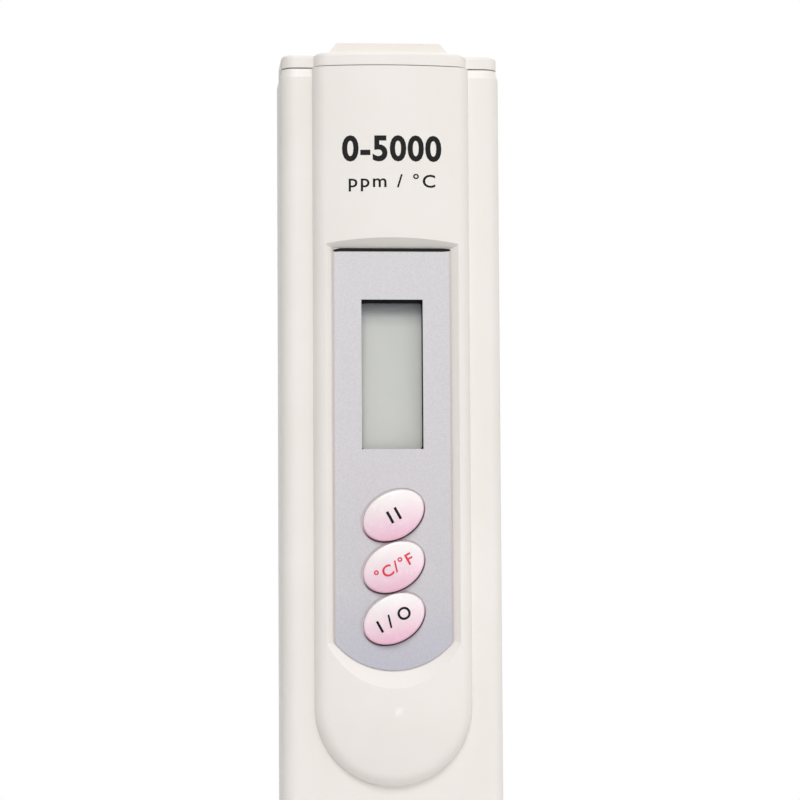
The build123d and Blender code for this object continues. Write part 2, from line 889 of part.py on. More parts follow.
def leaf_section(runs, steps):
    """Section of a bent leaf: runs (y, low, high) along the pen, steps (z, start, end) across."""
    with BuildSketch() as section:
        for y, low, high in runs:
            with Locations((y, low)):
                Rectangle(leaf_t, high - low, align=Align.MIN)
        for z, start, end in steps:
            with Locations((start, z)):
                Rectangle(end - start, leaf_t, align=Align.MIN)
    return section.sketch


# Leaves behind the cells: a short one for the lower cell, a long jogged one for the upper
leaf_foot_run = (-board_back, foot_z - leaf_foot, foot_z + leaf_t)
jog_y = leaf_y + leaf_jog
short_leaf = leaf_section(
    [leaf_foot_run, (leaf_y, foot_z, short_leaf_top)],
    [(foot_z, -board_back, leaf_y + leaf_t)],
)
long_leaf = leaf_section(
    [leaf_foot_run, (jog_y, foot_z, long_jog), (leaf_y, long_jog - leaf_t, long_leaf_top)],
    [(foot_z, -board_back, jog_y + leaf_t), (long_jog - leaf_t, leaf_y, jog_y + leaf_t)],
)
with BuildPart() as battery_contacts:
    for leaf, x in ((short_leaf, -leaf_off), (long_leaf, leaf_off)):
        with BuildSketch(Plane.YZ.offset(x - leaf_w / 2)):
            add(leaf)
        extrude(amount=leaf_w)
battery_contacts.part.label = "battery_contacts"

# Probe block: neck, flange between the shells, root, and two guard prongs
with BuildPart() as probe_block:
    with BuildSketch(level(tip_z)):
        add(neck_section())
    extrude(amount=inner_bottom - tip_z)
    with BuildSketch(level(inner_bottom)):
        add(neck_section(neck_flange))
    extrude(amount=flange_top - inner_bottom)
    with BuildSketch(level(flange_top)):
        Rectangle(neck_root_w, neck_root_d)
    extrude(amount=neck_root_len)
    with BuildSketch(facing(neck_d)):
        with Locations((0, tip_z)):
            Rectangle(notch_w, prong_len, align=(Align.CENTER, Align.MIN))
    extrude(amount=-2 * neck_d, mode=Mode.SUBTRACT)
    fillet(probe_block.faces().filter_by(Axis.Z).group_by(Axis.Z)[0].edges(), prong_tip_r)
    with BuildSketch(level(notch_z)):
        with Locations((-pin_pitch / 2, 0), (pin_pitch / 2, 0)):
            Circle(pin_d / 2 + pin_fit)
        Circle(sensor_d / 2 + pin_fit)
    extrude(amount=root_top - notch_z, mode=Mode.SUBTRACT)
probe_block.part.label = "probe_block"

# Electrode pins, round-ended, and the thermistor sleeve between them
with BuildPart() as electrode_pins:
    with BuildSketch(level(notch_z - pin_len)):
        with Locations((-pin_pitch / 2, 0), (pin_pitch / 2, 0)):
            Circle(pin_d / 2)
    extrude(amount=pin_len + root_top + pin_tail - notch_z)
    fillet(electrode_pins.edges().group_by(Axis.Z)[0], pin_d / 2 - pin_fit)
electrode_pins.part.label = "electrode_pins"
with BuildPart() as temperature_sensor:
    with BuildSketch(level(notch_z - sensor_len)):
        Circle(sensor_d / 2)
    extrude(amount=sensor_len + root_top + pin_tail - notch_z)
    fillet(temperature_sensor.edges().group_by(Axis.Z)[0], sensor_d / 2 - pin_fit)
temperature_sensor.part.label = "temperature_sensor"

# Leads from the pins and the sensor onto the back of the board
wire_xs = [-pin_pitch / 2, -wire_pitch / 2, wire_pitch / 2, pin_pitch / 2]
with BuildPart() as probe_wires:
    with BuildSketch(level(root_top + pin_tail)):
        with Locations(*[(x, wire_d / 2 - board_back) for x in wire_xs]):
            Circle(wire_d / 2)
    extrude(amount=wire_run)
probe_wires.part.label = "probe_wires"

# Protective cap
with BuildPart() as probe_cap:
    with BuildSketch(Plane.XY):
        add(body_section())
    extrude(amount=cap_len)
    fillet(probe_cap.faces().sort_by(Axis.Z)[0].edges(), cap_end_r)
    with BuildSketch(level(cap_floor)):
        add(neck_section(run_gap))
    extrude(amount=cap_len - cap_floor, mode=Mode.SUBTRACT)
    chamfer(probe_cap.faces().sort_by(Axis.Z)[-1].inner_wires()[0].edges(), cap_mouth)
probe_cap.part.label = "probe_cap"

# Pocket clip: foot, sprung arm and a bead that grips near its tip
with BuildPart() as pocket_clip:
    with BuildSketch(Plane.YZ) as profile:
        with BuildLine():
            arm_in = clip_back - clip_t
            Polyline(
                (arm_in, clip_tip + clip_bead_len),
                (arm_in, clip_top - clip_foot),
                (half_d, clip_top - clip_foot),
                (half_d, clip_top),
                (clip_back, clip_top),
                (clip_back, clip_tip + clip_bead_len / 2),
                (arm_in, clip_tip),
            )
            bead_peak = (half_d + clip_bead_gap, clip_tip + clip_bead_len / 2)
            ThreePointArc((arm_in, clip_tip), bead_peak, (arm_in, clip_tip + clip_bead_len))
        make_face()
        fillet(profile.vertices().sort_by_distance((clip_back, clip_top))[0], clip_t)
        fillet(profile.vertices().sort_by_distance((arm_in, clip_top - clip_foot))[0], clip_root_r)
    extrude(amount=clip_w / 2, both=True)
    with BuildSketch(facing(-half_d)) as plan:
        with BuildLine():
            Polyline(
                (-clip_w / 2, clip_top),
                (clip_w / 2, clip_top),
                (clip_tip_w / 2, clip_tip),
                (-clip_tip_w / 2, clip_tip),
                close=True,
            )
        make_face()
        fillet(plan.vertices().group_by(Axis.Y)[0], clip_tip_r)
    extrude(amount=-clip_rise, mode=Mode.INTERSECT)
    outer_face = pocket_clip.faces().filter_by(Axis.Y).sort_by(Axis.Y)[-1]
    across = outer_face.edges().group_by(Axis.X)
    fillet(across[0] + across[-1], clip_edge_r)
    with BuildSketch(facing(-half_d)):
        with Locations((0, clip_screw_z)):
            Circle(clip_screw_d / 2 + fit_gap / 2)
    extrude(amount=-clip_screw_bite - fit_gap, mode=Mode.SUBTRACT)
pocket_clip.part.label = "pocket_clip"


def make_screws(spots, seat, head_d, head_t, shank_d, length, turn=1):
    """Pan-head screws: heads on the seat, shanks running to the front, or the back at -1."""
    with BuildPart() as screws:
        with BuildSketch(facing(seat)):
            with Locations(*spots):
                Circle(head_d / 2)
        extrude(amount=-turn * head_t)
        with BuildSketch(facing(seat)):
            with Locations(*spots):
                Circle(shank_d / 2)
        extrude(amount=turn * length)
        with BuildSketch(facing(seat - turn * head_t)):
            with Locations(*spots):
                Rectangle(head_d / 2, recess_cross)
                Rectangle(recess_cross, head_d / 2)
        extrude(amount=turn * head_t / 2, mode=Mode.SUBTRACT)
    return screws.part


case_seat = case_head_sink + case_head_t - half_d
clip_spot = [(0, clip_screw_z)]
screws = {
    "case_screws": make_screws(
        case_spots, case_seat, case_head_d, case_head_t, case_screw_d, case_screw_len
    ),
    "board_screws": make_screws(
        board_spots, board_back, board_head_d, board_head_t, board_screw_d, board_screw_len
    ),
    "clip_screw": make_screws(
        clip_spot, -in_y, board_head_d, board_head_t, clip_screw_d, wall + clip_screw_bite, -1
    ),
}

os.makedirs("parts", exist_ok=True)
for group in (display_plates, keys, smd_rows, screws):
    for name, piece in group.items():
        piece.label = name
        export_step(piece, f"parts/{name}.step")
pieces = [
    front_shell,
    back_shell,
    front_label,
    zebra_strips,
    display_frame,
    circuit_board,
    trimmer_body,
    trimmer_rotor,
    controller_blob,
    amplifier_chips,
    clock_crystal,
    electrolytic_capacitor,
    battery_drawer,
    button_cells,
    battery_bridge,
    battery_contacts,
    probe_block,
    electrode_pins,
    temperature_sensor,
    probe_wires,
    probe_cap,
    pocket_clip,
]
for piece in pieces:
    export_step(piece.part, f"parts/{piece.part.label}.step")
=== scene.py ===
from math import cos, pi, radians, sin, sqrt

import bmesh
import bpy
from mathutils import Matrix, Vector


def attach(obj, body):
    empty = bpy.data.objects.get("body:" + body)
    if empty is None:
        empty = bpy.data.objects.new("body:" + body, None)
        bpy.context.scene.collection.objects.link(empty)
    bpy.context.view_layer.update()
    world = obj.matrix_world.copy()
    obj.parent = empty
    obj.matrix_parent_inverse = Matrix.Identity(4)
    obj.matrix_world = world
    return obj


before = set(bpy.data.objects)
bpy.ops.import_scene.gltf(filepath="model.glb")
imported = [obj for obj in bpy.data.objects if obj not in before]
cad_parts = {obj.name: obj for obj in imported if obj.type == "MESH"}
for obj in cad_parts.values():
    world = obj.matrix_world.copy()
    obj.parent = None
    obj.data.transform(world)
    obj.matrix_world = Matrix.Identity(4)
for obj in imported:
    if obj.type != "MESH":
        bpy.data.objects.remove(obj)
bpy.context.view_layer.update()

# Pen-type water meter: finishes for the CAD nodes, printed legends, fine parts, light, camera.
# Lengths in the tables are millimetres, and MM turns them into the scene's metres.
MM = 0.001

scene = bpy.context.scene
scene.view_settings.view_transform = "Standard"

# Surfaces that carry the legends and fine parts, as the CAD has them
CREST = 10.0
CROWN_R = 40.0
LABEL_TOP = 125.3
LABEL_FACE = 8.4
LABEL_HALF = 8.35
RECESS_FLOOR = 8.15
PANE_FRONT = 6.95
WINDOW_Z = 107.6
WINDOW_W = 8.6
WINDOW_H = 20.9
BUTTON_ZS = (87.9, 80.75, 73.6)
BUTTON_LONG = 9.0
BUTTON_SHORT = 6.44
BUTTON_FRONT = 9.7
BUTTON_CROWN_R = 15.0
BUTTON_TILT = 29.0
BUTTON_GAP = 0.25
INK_LIFT = 0.012
INK_SINK = 0.03
LONG_EDGE = 0.7

# Heights and half widths between which painted shade changes the label's and the display film's tone
LABEL_LOW = 66.0
LABEL_HIGH = 126.0
EDGE_SHADE_START = 7.95
EDGE_SHADE_END = 8.2
FILM_LOW = 96.0
FILM_HIGH = 119.0
SHADE_LOW = 114.3
SHADE_HIGH = 117.8

# Places across the pen where the capacitor's sleeve and the leads change colour
CAN_LEFT = -11.2
CAN_RIGHT = -6.0
LEADS_HALF = 4.0


def linear(rgb):
    """Linear colour of an 8-bit display colour."""
    out = []
    for value in rgb:
        c = value / 255
        out.append(c / 12.92 if c <= 0.04045 else ((c + 0.055) / 1.055) ** 2.4)
    return (*out, 1.0)


class Nodes:
    """Short hand for building one material's node tree."""

    def __init__(self, name):
        self.material = bpy.data.materials.new(name)
        self.material.use_nodes = True
        self.tree = self.material.node_tree
        self.tree.nodes.clear()
        self.out = self.add("ShaderNodeOutputMaterial")
        self.shader = self.add("ShaderNodeBsdfPrincipled")
        self.link(self.shader.outputs[0], self.out.inputs[0])
        self.coord = self.add("ShaderNodeTexCoord").outputs["Object"]

    def add(self, kind, **values):
        node = self.tree.nodes.new(kind)
        for key, value in values.items():
            setattr(node, key, value)
        return node

    def link(self, a, b):
        self.tree.links.new(a, b)

    def constant(self, **values):
        """Constant values on the shader's own sockets."""
        for key, value in values.items():
            self.shader.inputs[key.replace("_", " ")].default_value = value

    def stretched(self, scale):
        """Object coordinates scaled by (x, y, z)."""
        mapping = self.add("ShaderNodeMapping")
        mapping.inputs["Scale"].default_value = scale
        self.link(self.coord, mapping.inputs["Vector"])
        return mapping.outputs[0]

    def noise(self, size, detail=2.0, rough=0.5, vector=None):
        """Noise whose features are about this size in millimetres."""
        node = self.add("ShaderNodeTexNoise")
        node.inputs["Scale"].default_value = 1 / (size * MM)
        node.inputs["Detail"].default_value = detail
        node.inputs["Roughness"].default_value = rough
        self.link(vector or self.coord, node.inputs["Vector"])
        return node.outputs["Fac"]

    def spread(self, fac, low, high, start=0.0, end=1.0):
        """Value from low to high as fac goes from start to end."""
        node = self.add("ShaderNodeMapRange")
        for key, value in (
            ("From Min", start), ("From Max", end), ("To Min", low), ("To Max", high)
        ):
            node.inputs[key].default_value = value
        self.link(fac, node.inputs["Value"])
        return node.outputs[0]

    def between(self, axis, low, high):
        """Value from 0 to 1 as one coordinate goes from low to high, in millimetres."""
        return self.spread(self.axis(axis), 0.0, 1.0, low * MM, high * MM)

    def ramp(self, fac, stops, interpolation="LINEAR"):
        """Colour ramp through (position, 8-bit colour) stops."""
        node = self.add("ShaderNodeValToRGB")
        node.color_ramp.interpolation = interpolation
        elements = node.color_ramp.elements
        while len(elements) < len(stops):
            elements.new(0.5)
        for element, (position, rgb) in zip(elements, stops):
            element.position = position
            element.color = linear(rgb)
        self.link(fac, node.inputs[0])
        return node.outputs["Color"]

    def mix(self, fac, a, b, mode="MIX"):
        """Colour b over colour a by fac; each may be a socket, a number or a colour."""
        node = self.add("ShaderNodeMix", data_type="RGBA", blend_type=mode)
        for value, slot in ((fac, 0), (a, 6), (b, 7)):
            if isinstance(value, bpy.types.NodeSocket):
                self.link(value, node.inputs[slot])
            else:
                node.inputs[slot].default_value = value
        return node.outputs[2]

    def axis(self, name):
        """One coordinate, in metres."""
        node = self.add("ShaderNodeSeparateXYZ")
        self.link(self.coord, node.inputs[0])
        return node.outputs[name]

    def across(self, right, up):
        """Place over the piece's own box, from 0 to 1, towards the right and upwards."""
        node = self.add("ShaderNodeSeparateXYZ")
        self.link(self.add("ShaderNodeTexCoord").outputs["Generated"], node.inputs[0])
        total = abs(right) + abs(up)
        start = -(min(right, 0) + min(up, 0)) / total
        slant = self.maths("MULTIPLY", node.outputs["X"], right / total)
        rise = self.maths("MULTIPLY", node.outputs["Z"], up / total)
        return self.maths("ADD", self.maths("ADD", slant, rise), start)

    def maths(self, operation, a, b=None):
        node = self.add("ShaderNodeMath", operation=operation)
        for value, slot in ((a, 0), (b, 1)):
            if value is None:
                continue
            if isinstance(value, bpy.types.NodeSocket):
                self.link(value, node.inputs[slot])
            else:
                node.inputs[slot].default_value = value
        return node.outputs[0]

    def relief(self, *layers, edge=0.0):
        """Bump from (height socket, depth in millimetres) layers, over softened edges."""
        normal = None
        if edge:
            bevel = self.add("ShaderNodeBevel", samples=6)
            bevel.inputs["Radius"].default_value = edge * MM
            normal = bevel.outputs[0]
        for height, depth in layers:
            bump = self.add("ShaderNodeBump")
            bump.inputs["Distance"].default_value = depth * MM
            self.link(height, bump.inputs["Height"])
            if normal:
                self.link(normal, bump.inputs["Normal"])
            normal = bump.outputs[0]
        if normal:
            self.link(normal, self.shader.inputs["Normal"])

    def colour(self, socket):
        self.link(socket, self.shader.inputs["Base Color"])

    def roughness(self, socket):
        self.link(socket, self.shader.inputs["Roughness"])


def cloudy(dark, light, patch):
    """Tone that drifts between two colours over patches of about this size."""
    return lambda n: n.ramp(n.noise(patch, 3.0), [(0.3, dark), (0.7, light)])


def moulded(name, tone, rough, grain=0.25, depth=0.006, patch=9.0, edge=0.12, **constant):
    """Moulded plastic: its tone, fine spark-eroded grain and an uneven sheen."""
    n = Nodes(name)
    n.colour(tone(n))
    n.roughness(n.spread(n.noise(patch / 3, 4.0), rough - 0.06, rough + 0.06))
    n.relief((n.noise(grain, 3.0, 0.6), depth), (n.noise(patch, 1.0), 0.02), edge=edge)
    n.constant(**constant)
    return n


def metal(name, dark, light, rough, stretch=(1, 1, 1), grain=0.15, depth=0.003, edge=0.08):
    """Metal with a brushed or drawn grain along the axis that is stretched least."""
    n = Nodes(name)
    lines = n.noise(grain, 3.0, 0.6, n.stretched(stretch))
    stain = n.noise(3.0, 4.0)
    stained = n.ramp(stain, [(0.35, dark), (0.7, light)])
    drawn = n.ramp(lines, [(0.3, dark), (0.7, light)])
    n.colour(n.mix(0.35, stained, drawn))
    n.roughness(n.spread(lines, rough - 0.08, rough + 0.1))
    n.relief((lines, depth), edge=edge)
    n.constant(Metallic=1.0)
    return n


def clear(name, tint, alpha, rough, ior):
    """Thin clear sheet that shows what is behind it, with a faint sheen and hairlines."""
    n = Nodes(name)
    hair = n.noise(0.12, 2.0, 0.5, n.stretched((1.0, 1.0, 0.06)))
    pale = tuple(min(255, c + 8) for c in tint)
    n.colour(n.ramp(n.noise(6.0, 2.0), [(0.3, tint), (0.7, pale)]))
    n.roughness(n.spread(hair, rough, rough + 0.05, 0.45, 0.75))
    n.relief((n.noise(4.0, 1.0), 0.004), edge=0.1)
    n.constant(Alpha=alpha, IOR=ior)
    return n


finishes = {}

# Warm white housing
finishes["shell_plastic"] = moulded(
    "shell_plastic", cloudy((239, 234, 228), (243, 238, 233), 14.0), 0.46,
    grain=0.22, depth=0.005, patch=14.0,
)

# Grey label: printed film with a fine dot grain; painted shade darkens its lower end and its side edges
n = Nodes("label_film")
# Painted shade: the label darker and bluer towards its lower end
tone = n.ramp(n.between("Z", LABEL_LOW, LABEL_HIGH), [
    (0.0, (195, 194, 205)),
    (0.2, (211, 208, 211)),
    (0.5, (218, 214, 217)),
    (1.0, (221, 219, 220)),
])
speck = n.ramp(n.noise(0.18, 2.0), [(0.35, (244, 244, 246)), (0.65, (255, 255, 255))])
grey = n.mix(1.0, tone, speck, "MULTIPLY")
# Painted shade: a darker, warmer line down the label's side edges where it meets the recess wall
edge_shade = n.spread(n.maths("ABSOLUTE", n.axis("X")), 0.0, 1.0, EDGE_SHADE_START * MM, EDGE_SHADE_END * MM)
n.colour(n.mix(n.maths("MULTIPLY", edge_shade, 0.55), grey, linear((190, 172, 170))))
n.roughness(n.spread(n.noise(2.0, 3.0), 0.34, 0.46))
n.relief((n.noise(0.16, 2.0), 0.003), edge=0.06)
finishes["label_film"] = n


def pink_with_painted_highlight(n):
    """Pink with a painted highlight: nearly white towards the top, pinker below, and faintly cloudy."""
    highlight_ramp = n.ramp(n.across(-0.35, 1.0), [
        (0.12, (244, 190, 212)),
        (0.34, (250, 214, 228)),
        (0.52, (251, 230, 236)),
        (0.72, (255, 246, 246)),
        (0.9, (255, 252, 250)),
    ])
    return n.mix(1.0, highlight_ramp, cloudy((250, 250, 250), (255, 255, 255), 3.0)(n), "MULTIPLY")


# Pink buttons, and the clear pane and glasses
# Button plastic whose colour carries a painted highlight towards each button's top
finishes["button_plastic"] = moulded(
    "button_plastic", pink_with_painted_highlight, 0.26, grain=0.5, depth=0.003, patch=3.0, edge=0.15,
    Subsurface_Weight=0.15, Subsurface_Scale=0.0008, Coat_Weight=0.3, Coat_Roughness=0.18,
)
finishes["clear_plastic"] = clear("clear_plastic", (236, 240, 238), 0.10, 0.06, 1.49)
finishes["display_glass"] = clear("display_glass", (214, 232, 222), 0.22, 0.03, 1.52)

# Display's front film: blank grey-green with a faint vertical draw, painted a little darker towards its
# top as shade, and with a painted shadow under the window's top edge
n = Nodes("polariser_film")
draw = n.noise(0.3, 3.0, 0.5, n.stretched((1.0, 1.0, 0.05)))
# The film's tone by height is painted shade, a little darker towards its top
film = n.mix(
    0.5,
    n.ramp(n.between("Z", FILM_LOW, FILM_HIGH), [(0.0, (209, 209, 202)), (1.0, (202, 203, 199))]),
    n.ramp(draw, [(0.3, (204, 205, 200)), (0.7, (210, 210, 205))]),
)
# Painted shadow cast by the window's top edge onto the film
painted_shadow_band = n.ramp(
    n.between("Z", SHADE_LOW, SHADE_HIGH),
    [(0.0, (255, 255, 255)), (0.4, (226, 227, 230)), (0.7, (150, 153, 165)), (1.0, (84, 86, 100))],
)
n.colour(n.mix(1.0, film, painted_shadow_band, "MULTIPLY"))
n.roughness(n.spread(draw, 0.3, 0.38))
n.relief((draw, 0.001))
finishes["polariser_film"] = n

finishes["reflector_film"] = metal("reflector_film", (190, 192, 188), (214, 215, 210), 0.45, (1, 1, 0.1))
finishes["inner_plastic"] = moulded(
    "inner_plastic", cloudy((219, 219, 214), (229, 229, 225), 9.0), 0.5, depth=0.008
)

# Elastomer strips: fine dark conducting layers across the strip
n = Nodes("zebra_rubber")
wave = n.add("ShaderNodeTexWave", wave_type="BANDS", bands_direction="X")
wave.inputs["Scale"].default_value = 1600.0
wave.inputs["Distortion"].default_value = 0.3
n.link(n.coord, wave.inputs["Vector"])
n.colour(n.ramp(wave.outputs["Fac"], [(0.35, (58, 56, 60)), (0.6, (206, 160, 164))]))
n.roughness(n.spread(n.noise(0.4), 0.5, 0.65))
n.relief((wave.outputs["Fac"], 0.01))
finishes["zebra_rubber"] = n

# Board: green solder mask over copper runs, with the glass cloth just showing
n = Nodes("board_laminate")
brick = n.add("ShaderNodeTexBrick", offset=0.5, squash=1.0)
brick.inputs["Scale"].default_value = 260.0
brick.inputs["Mortar Size"].default_value = 0.045
brick.inputs["Brick Width"].default_value = 1.4
brick.inputs["Row Height"].default_value = 0.42
turn = n.add("ShaderNodeCombineXYZ")
n.link(n.axis("X"), turn.inputs[0])
n.link(n.axis("Z"), turn.inputs[1])
n.link(turn.outputs[0], brick.inputs["Vector"])
cloth = n.add("ShaderNodeTexChecker")
cloth.inputs["Scale"].default_value = 2200.0
n.link(n.coord, cloth.inputs["Vector"])
mask = n.mix(0.08, cloudy((22, 84, 52), (30, 100, 62), 5.0)(n), cloth.outputs["Color"])
n.colour(n.mix(brick.outputs["Fac"], mask, linear((66, 140, 84))))
n.roughness(n.spread(n.noise(1.5, 3.0), 0.28, 0.42))
n.relief((brick.outputs["Fac"], 0.03), (cloth.outputs["Fac"], 0.004), edge=0.08)
finishes["board_laminate"] = n

# Small moulded parts: two tones, roughness, and the sizes of grain, patches and softened edges
for name, dark, light, rough, grain, patch, edge in (
    ("black_resin", (22, 22, 24), (32, 32, 34), 0.3, 0.3, 3.0, 0.1),
    ("plunger_plastic", (62, 44, 36), (76, 54, 44), 0.4, 0.25, 2.0, 0.12),
    ("trimmer_blue", (28, 84, 168), (38, 98, 186), 0.38, 0.25, 3.0, 0.08),
    ("rotor_white", (226, 226, 220), (238, 238, 233), 0.42, 0.25, 2.0, 0.06),
    ("ceramic_body", (150, 118, 88), (172, 138, 104), 0.5, 0.1, 1.5, 0.06),
):
    finishes[name] = moulded(name, cloudy(dark, light, patch), rough, grain, patch=patch, edge=edge)

# Bare metal parts, drawn along their length
for name, dark, light, rough, drawn_out in (
    ("crystal_can", (150, 152, 150), (204, 205, 202), 0.24, 0.08),
    ("spring_metal", (176, 160, 128), (214, 202, 172), 0.3, 0.06),
    ("pin_metal", (150, 150, 152), (202, 202, 204), 0.22, 0.05),
    ("sensor_sleeve", (128, 130, 132), (186, 188, 190), 0.3, 0.05),
):
    finishes[name] = metal(name, dark, light, rough, (1, 1, drawn_out))
finishes["screw_steel"] = metal("screw_steel", (118, 120, 122), (178, 180, 182), 0.32, grain=0.3)

# Capacitor can: printed sleeve with a dark stripe down the side that faces out
n = Nodes("capacitor_can")
stripe = n.ramp(
    n.between("X", CAN_LEFT, CAN_RIGHT), [(0.0, (24, 26, 34)), (0.24, (176, 178, 180))], "CONSTANT"
)
grain = n.ramp(n.noise(0.2, 2.0), [(0.3, (150, 152, 154)), (0.7, (196, 198, 200))])
n.colour(n.mix(0.3, stripe, grain))
n.roughness(n.spread(n.noise(1.0, 3.0), 0.24, 0.36))
n.relief((n.noise(0.2, 2.0), 0.002), edge=0.08)
n.constant(Metallic=0.8)
finishes["capacitor_can"] = n

# Cells: turned steel with rings from the press and light handling marks
n = Nodes("cell_steel")
scratch = n.noise(0.1, 3.0, 0.6, n.stretched((0.12, 1.0, 1.0)))
n.colour(n.ramp(n.noise(2.5, 4.0), [(0.35, (192, 192, 188)), (0.7, (204, 204, 200))]))
n.roughness(n.spread(scratch, 0.16, 0.34))
n.relief((scratch, 0.002), edge=0.2)
n.constant(Metallic=1.0)
finishes["cell_steel"] = n

# Four leads, told apart by their colours
n = Nodes("wire_cover")
n.colour(n.ramp(
    n.between("X", -LEADS_HALF, LEADS_HALF),
    [(0.0, (196, 40, 38)), (0.3, (236, 236, 232)), (0.5, (214, 172, 44)), (0.72, (34, 34, 38))],
    "CONSTANT",
))
n.roughness(n.spread(n.noise(1.0, 2.0), 0.36, 0.48))
n.relief((n.noise(0.3, 2.0), 0.006))
finishes["wire_cover"] = n

# Matt printing inks
for name, dark, light in (
    ("ink_dark", (8, 7, 9), (16, 14, 16)),
    ("ink_red", (222, 58, 78), (232, 74, 94)),
):
    finishes[name] = moulded(
        name, cloudy(dark, light, 1.5), 0.55, grain=0.12, depth=0.004, patch=1.5, edge=0,
        Specular_IOR_Level=0.2,
    )


def painted_button_shadow(n):
    """Painted shadow: pale at the upper left, dark at the lower right."""
    slant = n.across(0.6, -1.0)
    return n.ramp(slant, [(0.45, (226, 216, 220)), (0.6, (150, 112, 132)), (0.72, (84, 62, 74))])


# Rubber web round each button, coloured with painted shade that is dark at the lower right where the
# button's shadow falls
finishes["web_rubber"] = moulded("web_rubber", painted_button_shadow, 0.5, grain=0.2, patch=2.0, edge=0)

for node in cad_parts.values():
    for slot in node.material_slots:
        plain = slot.material.name.split(".")[0]
        slot.material = finishes[plain].material


def printed(name, words, height, place, body, ink, weight, spacing, squeeze):
    """Words as a thin layer of ink, carried onto a surface by place(u, w, lift).

    The weight thickens the strokes, the spacing parts the letters and the squeeze scales
    the line's width.
    """
    curve = bpy.data.curves.new(name + "_type", "FONT")
    curve.body = words
    curve.size = 1.0
    curve.align_x = "CENTER"
    curve.space_character = spacing
    curve.resolution_u = 4
    curve.offset = weight
    curve.extrude = 0.5
    sample = bpy.data.objects.new(name + "_type", curve)
    scene.collection.objects.link(sample)
    bpy.context.view_layer.update()
    depsgraph = bpy.context.evaluated_depsgraph_get()
    mesh = bpy.data.meshes.new_from_object(sample.evaluated_get(depsgraph))
    bpy.data.objects.remove(sample)
    bpy.data.curves.remove(curve)
    tops = [v.co.y for v in mesh.vertices]
    sides = [v.co.x for v in mesh.vertices]
    scale = height / (max(tops) - min(tops))
    middle = (max(sides) + min(sides)) / 2
    centre = (max(tops) + min(tops)) / 2
    soft = bmesh.new()
    soft.from_mesh(mesh)
    bmesh.ops.remove_doubles(soft, verts=soft.verts, dist=1e-5)
    for _ in range(2):
        long_edges = [e for e in soft.edges if e.calc_length() * scale > LONG_EDGE]
        bmesh.ops.subdivide_edges(soft, edges=long_edges, cuts=1)
    bmesh.ops.triangulate(soft, faces=soft.faces)
    for v in soft.verts:
        u = (v.co.x - middle) * scale * squeeze
        w = (v.co.y - centre) * scale
        v.co = Vector(place(u, w, INK_LIFT if v.co.z > 0 else -INK_SINK)) * MM
    bmesh.ops.recalc_face_normals(soft, faces=soft.faces)
    soft.to_mesh(mesh)
    soft.free()
    mesh.name = name
    piece = bpy.data.objects.new(name, mesh)
    scene.collection.objects.link(piece)
    mesh.materials.clear()
    mesh.materials.append(finishes[ink].material)
    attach(piece, body)


def on_button(z):
    """Placement on a button's dome, along its slant."""
    c, s = cos(radians(BUTTON_TILT)), sin(radians(BUTTON_TILT))

    def place(u, w, lift):
        x = u * c - w * s
        up = u * s + w * c
        dome = sqrt(BUTTON_CROWN_R**2 - x * x - up * up)
        return x, BUTTON_CROWN_R - BUTTON_FRONT - dome - lift, z + up
    return place


def on_tongue(z):
    """Placement on the tongue's crown."""
    def place(u, w, lift):
        return u, CROWN_R - CREST - sqrt(CROWN_R**2 - u * u) - lift, z + w
    return place


# Legends on the buttons: a pause mark, the two temperature units, and the on and off marks
for key, z, words, height, ink, weight, spacing, squeeze in (
    ("hold", BUTTON_ZS[0], "II", 1.8, "ink_dark", 0.03, 1.5, 1.0),
    ("temp", BUTTON_ZS[1], "°C/°F", 1.7, "ink_red", 0.016, 1.15, 1.05),
    ("power", BUTTON_ZS[2], "I / O", 1.8, "ink_dark", 0.02, 1.1, 1.0),
):
    printed(
        f"{key}_legend", words, height, on_button(z), f"{key}_key", ink,
        weight, spacing, squeeze,
    )

# Legends on the tongue: a range of numbers, and its units
for name, z, words, height, weight, spacing, squeeze in (
    ("range_legend", 139.1, "0-5000", 3.7, 0.03, 1.08, 0.95),
    ("unit_legend", 134.3, "ppm / °C", 2.5, 0.012, 1.2, 1.1),
):
    printed(
        name, words, height, on_tongue(z), "housing", "ink_dark",
        weight, spacing, squeeze,
    )


def ring(name, z, outer, inner, back, front, finish):
    """Flat ring about a height, between two outlines of as many (x, z) points."""
    count = len(outer)
    loops = [(outer, front), (inner, front), (inner, back), (outer, back)]
    verts = [(x * MM, -depth * MM, (z + up) * MM) for line, depth in loops for x, up in line]
    faces = []
    for k in range(len(loops)):
        a, b = k * count, (k + 1) % len(loops) * count
        faces += [(a + i, a + (i + 1) % count, b + (i + 1) % count, b + i) for i in range(count)]
    solid(name, verts, faces, finish)


def solid(name, verts, faces, finish):
    """Mesh piece that stays with the housing."""
    mesh = bpy.data.meshes.new(name)
    mesh.from_pydata(verts, [], faces)
    shape = bmesh.new()
    shape.from_mesh(mesh)
    bmesh.ops.recalc_face_normals(shape, faces=shape.faces)
    shape.to_mesh(mesh)
    shape.free()
    piece = bpy.data.objects.new(name, mesh)
    scene.collection.objects.link(piece)
    mesh.materials.append(finishes[finish].material)
    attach(piece, "housing")


def oval(grow, count=64):
    """Outline of a button, grown, about its own centre."""
    c, s = cos(radians(BUTTON_TILT)), sin(radians(BUTTON_TILT))
    points = []
    for i in range(count):
        turn = 2 * pi * i / count
        u, w = (BUTTON_LONG / 2 + grow) * cos(turn), (BUTTON_SHORT / 2 + grow) * sin(turn)
        points.append((u * c - w * s, u * s + w * c))
    return points


